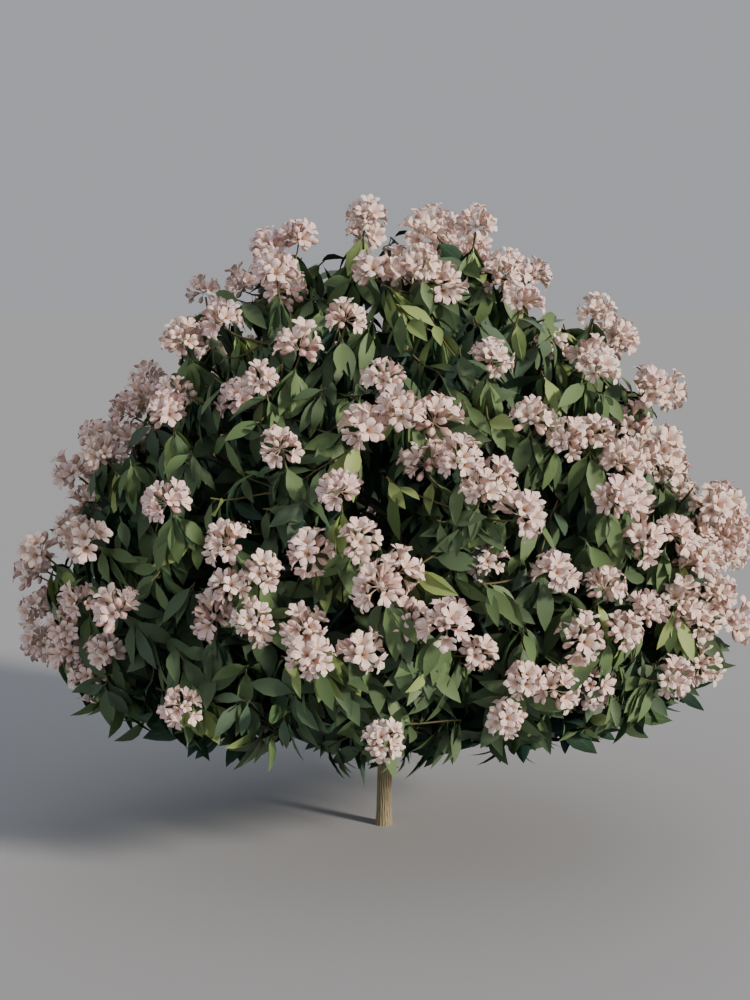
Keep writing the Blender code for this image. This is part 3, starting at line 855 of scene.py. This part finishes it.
def blossomParts(centres, axes, rng):
    count = len(centres)
    rays, openShares, scales = flowerRays(axes, rng)
    n = len(scales)
    origins = np.repeat(centres, n, axis=0) + rays * rng.normal(0.0, truss["stagger"], (count * n, 1))
    isOpen = (rng.uniform(0.0, 1.0, (count, n)) < openShares).ravel()
    sizes = np.repeat(rng.uniform(*truss["sizes"], count), n)
    sizes = sizes * rng.uniform(*truss["flowerSizes"], count * n) * np.tile(scales, count)
    halfOpen = rng.uniform(0.0, 1.0, count * n) < truss["halfOpenShare"]
    widths = sizes * np.where(halfOpen, truss["halfOpenWidth"], 1.0)
    sizes = np.stack([widths, widths, sizes], axis=1)
    turned = framesFor(rays, rng.uniform(0.0, 2 * np.pi, count * n))
    shade = np.repeat(rng.integers(0, 3, count), n)
    isOther = rng.uniform(0.0, 1.0, count * n) < truss["otherTint"]
    shade = np.where(isOther, rng.integers(0, 3, count * n), shade)
    parts = []

    opened = int(isOpen.sum())
    verts, faces, row, uv = flowerTemplate()
    moved, quads = tiled(verts, faces, turned[isOpen], origins[isOpen], sizes[isOpen])
    slots = np.where(row[None] == 1, tintSlot["petalFlush"], shade[isOpen][:, None])
    slots = np.where(row[None] == 0, tintSlot["petalThroat"], slots)
    parts.append(part(moved, [quads], slots.ravel(), np.broadcast_to(uv, (opened,) + uv.shape)))

    verts, faces, slots = stamenTemplate()
    moved, quads = tiled(verts, faces, turned[isOpen], origins[isOpen], sizes[isOpen])
    parts.append(part(moved, [quads], np.tile(slots, opened)))

    verts, faces, slots = budTemplate()
    plump = np.repeat(sizes[~isOpen, 2:], 3, axis=1)
    moved, quads = tiled(verts, faces, turned[~isOpen], origins[~isOpen], plump)
    parts.append(part(moved, [quads], np.tile(slots, count * n - opened)))

    verts, faces = stalkTemplate()
    moved, quads = tiled(verts, faces, turned, origins, sizes)
    parts.append(part(moved, [quads], tintSlot["pedicel"]))
    return parts


# Materials. Colours are linear and plain for each spray; groups add what changes over a surface.
tints = {
    # The first four leaf tints are painted light: sunlit, half shade, deep shade and bluish shade copies
    # of one green; the young leaves' yellow-green is their own colour.
    "leafSun": (0.258, 0.352, 0.116),
    "leafPaintedHalfShade": (0.074, 0.142, 0.058),
    "leafPaintedDeepShade": (0.030, 0.072, 0.042),
    "leafPaintedBlueShade": (0.026, 0.068, 0.054),
    "leafYoung": (0.300, 0.395, 0.140),
    "petalPale": (0.895, 0.745, 0.665),
    "petalBlush": (0.870, 0.690, 0.630),
    "petalRose": (0.825, 0.625, 0.615),
    "petalFlush": (0.870, 0.700, 0.630),
    "petalThroat": (0.820, 0.620, 0.480),
    "budRose": (0.700, 0.420, 0.400),
    "budPale": (0.860, 0.660, 0.560),
    "pedicel": (0.640, 0.520, 0.400),
    "anther": (0.480, 0.300, 0.170),
    "twig": (0.130, 0.110, 0.050),
    "barkRidge": (0.360, 0.310, 0.190),
    # the crack colour: the bark's own dark fissure, darkened to near black by painted shade in the
    # recess
    "barkCrackShade": (0.022, 0.016, 0.010),
    "floor": (0.380, 0.390, 0.410),
}


# Finishes: roughness, specular level, and blotches: how much darker, how fine, and how strong.
finishes = {
    "leaf": {"roughness": 0.50, "specular": 0.30, "darker": 0.60, "fine": 26.0, "amount": 0.55},
    "petal": {"roughness": 0.55, "specular": 0.30, "darker": 0.86, "fine": 60.0, "amount": 0.50},
    "stalk": {"roughness": 0.50, "specular": 0.35, "darker": 0.70, "fine": 120.0, "amount": 0.60},
    "twig": {"roughness": 0.80, "specular": 0.35, "darker": 0.70, "fine": 120.0, "amount": 0.60},
    "bark": {"roughness": 0.90, "specular": 0.25, "darker": 0.60, "fine": 45.0, "amount": 0.60},
    "floor": {"roughness": 0.85, "specular": 0.20},
}


def newGroup(name, inputs, outputs):
    group = bpy.data.node_groups.new(name, "ShaderNodeTree")
    for label, kind, value in inputs:
        socket = group.interface.new_socket(label, in_out="INPUT", socket_type=kind)
        if value is not None:
            socket.default_value = value
    for label, kind in outputs:
        group.interface.new_socket(label, in_out="OUTPUT", socket_type=kind)
    return group, group.nodes.new("NodeGroupInput").outputs, group.nodes.new("NodeGroupOutput").inputs


def fitted(tree, kind, settings):
    # a new node, each of its named inputs set to a plain value or linked to another node's output
    node = tree.nodes.new(kind)
    for label, value in settings.items():
        if isinstance(value, bpy.types.NodeSocket):
            tree.links.new(value, node.inputs[label])
        else:
            node.inputs[label].default_value = value
    return node


def worked(tree, operation, *values):
    # the result of a math node on plain numbers or other nodes' outputs
    node = fitted(tree, "ShaderNodeMath", dict(enumerate(values)))
    node.operation = operation
    return node.outputs[0]


def ranged(tree, value, low, high):
    # nought at the low end of the value's range and one at its high end
    settings = {"Value": value, "From Min": low, "From Max": high}
    return fitted(tree, "ShaderNodeMapRange", settings).outputs[0]


def mixed(tree, first, second, factor):
    node = tree.nodes.new("ShaderNodeMix")
    node.data_type = "RGBA"
    for place, colour in ((6, first), (7, second)):
        if isinstance(colour, bpy.types.NodeSocket):
            tree.links.new(colour, node.inputs[place])
        else:
            node.inputs[place].default_value = (*colour, 1.0)
    tree.links.new(factor, node.inputs["Factor"])
    return node.outputs[2]


def mottleGroup():
    # blotches: soft noise at one scale and fine noise at six times it, mixed into two colours
    group, given, result = newGroup(
        "mottle",
        [
            ("Vector", "NodeSocketVector", None),
            ("Scale", "NodeSocketFloat", 40.0),
            ("Base", "NodeSocketColor", None),
            ("Shade", "NodeSocketColor", None),
            ("Amount", "NodeSocketFloat", 0.5),
        ],
        [("Color", "NodeSocketColor"), ("Mask", "NodeSocketFloat")],
    )
    place = given["Vector"]
    finer = worked(group, "MULTIPLY", given["Scale"], 6.0)
    soft = fitted(group, "ShaderNodeTexNoise", {"Vector": place, "Scale": given["Scale"], "Detail": 3.0})
    fine = fitted(group, "ShaderNodeTexNoise", {"Vector": place, "Scale": finer, "Detail": 2.0})
    noise = worked(group, "MULTIPLY_ADD", fine.outputs[0], 0.35, soft.outputs[0])
    mask = ranged(group, noise, 0.45, 0.90)
    amount = worked(group, "MULTIPLY", mask, given["Amount"])
    group.links.new(mixed(group, given["Base"], given["Shade"], amount), result["Color"])
    group.links.new(mask, result["Mask"])
    return group


def veinGroup():
    # veins on the surface's own UV: a sine of so many waves along it, slanted away from the
    # middle line and sharpened to thin lines, and a rib along the middle line itself
    group, given, result = newGroup(
        "veins",
        [
            ("UV", "NodeSocketVector", None),
            ("Waves", "NodeSocketFloat", 14.0),
            ("Slant", "NodeSocketFloat", 8.0),
            ("Sharpness", "NodeSocketFloat", 8.0),
        ],
        [("Mask", "NodeSocketFloat"), ("Rib", "NodeSocketFloat")],
    )
    split = fitted(group, "ShaderNodeSeparateXYZ", {0: given["UV"]})
    away = worked(group, "ABSOLUTE", worked(group, "SUBTRACT", split.outputs[1], 0.5))
    slant = worked(group, "MULTIPLY", away, given["Slant"])
    waves = worked(group, "MULTIPLY", split.outputs[0], given["Waves"])
    turn = worked(group, "MULTIPLY", worked(group, "SUBTRACT", waves, slant), 2 * math.pi)
    lifted = worked(group, "MULTIPLY_ADD", worked(group, "COSINE", turn), 0.5, 0.5)
    group.links.new(worked(group, "POWER", lifted, given["Sharpness"]), result["Mask"])
    group.links.new(ranged(group, away, 0.045, 0.015), result["Rib"])
    return group


def newMaterial(name, finish):
    material = bpy.data.materials.new(name)
    material.use_nodes = True
    shader = material.node_tree.nodes["Principled BSDF"]
    shader.inputs["Roughness"].default_value = finish["roughness"]
    shader.inputs["Specular IOR Level"].default_value = finish["specular"]
    return material, material.node_tree, shader


def grouped(tree, group, settings):
    node = tree.nodes.new("ShaderNodeGroup")
    node.node_tree = group
    for label, value in settings.items():
        node.inputs[label].default_value = value
    return node


def mottled(tree, groups, tint, finish):
    # a tint with blotches of the same tint made darker
    place = tree.nodes.new("ShaderNodeTexCoord")
    settings = {
        "Scale": finish["fine"],
        "Amount": finish["amount"],
        "Base": (*tint, 1.0),
        "Shade": (*[c * finish["darker"] for c in tint], 1.0),
    }
    mottle = grouped(tree, groups["mottle"], settings)
    tree.links.new(place.outputs["Object"], mottle.inputs["Vector"])
    return place, mottle.outputs["Color"]


def bumped(tree, shader, height, strength, distance):
    settings = {"Height": height, "Strength": strength, "Distance": distance}
    bump = fitted(tree, "ShaderNodeBump", settings)
    tree.links.new(bump.outputs["Normal"], shader.inputs["Normal"])
    return bump


def leafMaterial(name, groups):
    tint = tints[name]
    material, tree, shader = newMaterial(name, finishes["leaf"])
    place, colour = mottled(tree, groups, tint, finishes["leaf"])
    veins = grouped(tree, groups["veins"], {})
    tree.links.new(place.outputs["UV"], veins.inputs["UV"])
    paler = [c * 1.35 + 0.01 for c in tint]
    colour = mixed(tree, colour, paler, worked(tree, "MULTIPLY", veins.outputs["Mask"], 0.25))
    ribbed = [c * 1.5 + 0.02 for c in tint]
    colour = mixed(tree, colour, ribbed, worked(tree, "MULTIPLY", veins.outputs["Rib"], 0.55))
    bumped(tree, shader, veins.outputs["Mask"], 0.35, 0.0008).invert = True
    under = tree.nodes.new("ShaderNodeNewGeometry")
    pale = [c * 0.85 + more for c, more in zip(tint, (0.045, 0.055, 0.020))]
    colour = mixed(tree, colour, pale, under.outputs["Backfacing"])
    tree.links.new(colour, shader.inputs["Base Color"])
    return material


def petalMaterial(name, groups):
    tint = tints[name]
    material, tree, shader = newMaterial(name, finishes["petal"])
    place, colour = mottled(tree, groups, tint, finishes["petal"])
    veins = grouped(tree, groups["veins"], {"Waves": 0.5, "Slant": 5.0, "Sharpness": 3.0})
    tree.links.new(place.outputs["UV"], veins.inputs["UV"])
    flushed = [c * share for c, share in zip(tint, (0.93, 0.74, 0.76))]
    colour = mixed(tree, colour, flushed, worked(tree, "MULTIPLY", veins.outputs["Mask"], 0.30))
    tree.links.new(colour, shader.inputs["Base Color"])
    shader.inputs["Sheen Weight"].default_value = 0.15
    shader.inputs["Subsurface Weight"].default_value = 0.12
    shader.inputs["Subsurface Radius"].default_value = (0.006, 0.003, 0.002)
    return material


def plainMaterial(name, groups, finish):
    material, tree, shader = newMaterial(name, finish)
    _, colour = mottled(tree, groups, tints[name], finish)
    tree.links.new(colour, shader.inputs["Base Color"])
    return material


def barkMaterial(groups):
    # the mesh's crack attribute takes the colour from dry ridge to dark crack; the crack colour is
    # partly the bark's own dark fissure and partly painted shade in the recess
    material, tree, shader = newMaterial("bark", finishes["bark"])
    place, colour = mottled(tree, groups, tints["barkRidge"], finishes["bark"])
    crack = tree.nodes.new("ShaderNodeAttribute")
    crack.attribute_name = "crack"
    colour = mixed(tree, colour, tints["barkCrackShade"], crack.outputs["Fac"])
    tree.links.new(colour, shader.inputs["Base Color"])
    stretch = {"Vector": place.outputs["Object"], "Scale": (1.0, 1.0, 0.15)}
    stretched = fitted(tree, "ShaderNodeMapping", stretch).outputs[0]
    fibre = {"Vector": stretched, "Scale": 700.0, "Detail": 4.0}
    bumped(tree, shader, fitted(tree, "ShaderNodeTexNoise", fibre).outputs[0], 0.6, 0.0006)
    return material


def makeMaterials():
    groups = {"mottle": mottleGroup(), "veins": veinGroup()}
    blooms = []
    for name in blossomTints:
        if name.startswith("petal"):
            blooms.append(petalMaterial(name, groups))
        else:
            blooms.append(plainMaterial(name, groups, finishes["stalk"]))
    return {
        "leaves": [leafMaterial(name, groups) for name in leafTints],
        "blossom": blooms,
        "twigs": [plainMaterial("twig", groups, finishes["twig"])],
        "bark": barkMaterial(groups),
    }


def groupOf(massName):
    tier, number = massName.split("_")
    if tier in ("skirt", "waist"):
        return list(limbPlan["boughs"])[(int(number) - 1) // 2]
    return {"shoulder": "shoulders", "top": "top"}[tier]


def insideBox(points):
    # leaves that stay in the solids' box, and above the height where the trunk stands bare
    low = np.array(cadBox[0]) - growth["spare"]
    high = np.array(cadBox[1]) + growth["spare"]
    low[2] = growth["leafFloor"]
    return np.all((points > low) & (points < high), axis=(1, 2))


def growLeaves(paths, kinds, group, rng):
    sprays = []
    for kind, shoots in kinds.items():
        points, tone, which = growWhorls(kind, paths[shoots], rng)
        keep = insideBox(points)
        sprays.append((points[keep], tone[keep], group[shoots[which[keep]]]))
        print(kind, int(keep.sum()), "leaves of", len(keep))
    return [np.concatenate(column) for column in zip(*sprays)]


def stemPart(stems):
    # the stem that each mass's twigs leave
    share = np.linspace(0.0, 1.0, growth["stemPoints"])[None, :, None]
    starts = np.array([m["start"] for m in stems])[:, None]
    ends = np.array([m["end"] for m in stems])[:, None]
    radii = np.linspace(*limbPlan["stemRadii"], growth["stemPoints"])
    radii = np.broadcast_to(radii, (len(stems), growth["stemPoints"]))
    verts, faces = sweep(starts + (ends - starts) * share, radii, growth["stemSides"])
    return part(verts, faces, 0)


def makeFoliage(masses, materials):
    leads = leadTips()
    tips, leafy, inner = growTips(leads)
    paths, radii, owner = growTwigs(leads, tips, leafy, inner, masses)
    names = list(masses)
    group = np.array([groupOf(names[o]) for o in owner])
    shoots = np.arange(len(owner))
    flowering, others, deep = np.split(shoots, [len(tips), len(tips) + len(leafy)])
    kinds = {"flowering": flowering, "older": flowering, "leafy": others, "inner": deep}
    rng = np.random.default_rng(growth["seed"] + 2)
    points, tone, home = growLeaves(paths, kinds, group, rng)
    outward = unit(tips - crown["focus"])
    onward = unit(paths[flowering, -1] - paths[flowering, -2])
    axes = unit(unit(onward + outward) + np.array([0.0, 0.0, truss["upward"]]))
    centres = tips + outward * growth["trussStandOut"]
    for name in [*limbPlan["boughs"], "shoulders", "top"]:
        mine = home == name
        leaves = [leafPart(points[mine], tone[mine])]
        mine = group[flowering] == name
        blossom = blossomParts(centres[mine], axes[mine], rng)
        mine = group == name
        verts, faces = sweep(paths[mine], radii[mine], growth["twigSides"])
        twigs = [part(verts, faces, 0), stemPart([masses[n] for n in names if groupOf(n) == name])]
        for kind, parts, slot in (
            ("leaves", leaves, "foliage"),
            ("blossom", blossom, "foliage"),
            ("twigs", twigs, "bark"),
        ):
            made = makePiece(f"{kind}_{name}", parts, materials[kind])
            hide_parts(*["foliage_" + n for n in names if groupOf(n) == name])


# Studio: a wide plain floor, an even pale world, a low warm lamp from the right and two weak ones.
studio = {
    "floorHalf": 30.0,
    "world": (0.64, 0.66, 0.70, 1.0),
    "worldStrength": 0.60,
    "lamps": {
        "key": ((0.80, -0.56, 0.38), 8.0, 4.7, (1.0, 0.89, 0.77)),
        "fill": ((-0.80, -0.70, 0.35), 60.0, 0.40, (0.84, 0.90, 1.0)),
        "back": ((0.20, 0.90, 0.80), 40.0, 0.35, (0.95, 0.96, 1.0)),
    },
}


def makeStudio():
    mesh = bpy.data.meshes.new("floor")
    half = studio["floorHalf"]
    corners = [(-half, -half, 0.0), (half, -half, 0.0), (half, half, 0.0), (-half, half, 0.0)]
    mesh.from_pydata(corners, [], [(0, 1, 2, 3)])
    ground = bpy.data.objects.new("floor", mesh)
    bpy.context.scene.collection.objects.link(ground)
    material, _, shader = newMaterial("floorPaint", finishes["floor"])
    shader.inputs["Base Color"].default_value = (*tints["floor"], 1.0)
    mesh.materials.append(material)

    world = bpy.data.worlds.new("studio")
    bpy.context.scene.world = world
    world.use_nodes = True
    backdrop = world.node_tree.nodes["Background"]
    backdrop.inputs["Color"].default_value = studio["world"]
    backdrop.inputs["Strength"].default_value = studio["worldStrength"]

    for name, (source, angle, strength, colour) in studio["lamps"].items():
        light = bpy.data.lights.new(name, "SUN")
        light.energy = strength
        light.angle = math.radians(angle)
        light.color = colour
        holder = bpy.data.objects.new(name, light)
        holder.rotation_euler = Vector(source).to_track_quat("Z", "Y").to_euler()
        bpy.context.scene.collection.objects.link(holder)


# Camera: looks eight degrees down from five metres away, aimed a little left of the trunk.
view = {"distance": 5.0, "elevation": 8.0, "target": (-0.023, 0.0, 0.855), "lens": 70.5, "sensor": 36.0}


def makeCamera():
    camera = bpy.data.cameras.new("camera")
    camera.lens = view["lens"]
    camera.sensor_width = view["sensor"]
    holder = bpy.data.objects.new("camera", camera)
    rise = math.radians(view["elevation"])
    back = Vector((0.0, -math.cos(rise), math.sin(rise)))
    holder.location = Vector(view["target"]) + back * view["distance"]
    holder.rotation_euler = (-back).to_track_quat("-Z", "Y").to_euler()
    bpy.context.scene.collection.objects.link(holder)
    bpy.context.scene.camera = holder


print("rhododendron: camera and studio")
makeCamera()
makeStudio()
print("rhododendron: materials")
materials = makeMaterials()
print("rhododendron: trunk and limbs")
masses = planMasses()
limbs = planLimbs(masses)
makeTrunk(materials["bark"])
sideLimbs = {n: limb for n, limb in limbs.items() if n.startswith("limb_")}
boughs = {n: limb for n, limb in limbs.items() if n not in sideLimbs}
makeLimbs("bark_boughs", boughs, materials["bark"])
makeLimbs("bark_limbs", sideLimbs, materials["bark"])
print("rhododendron: foliage and blossom")
makeFoliage(masses, materials)
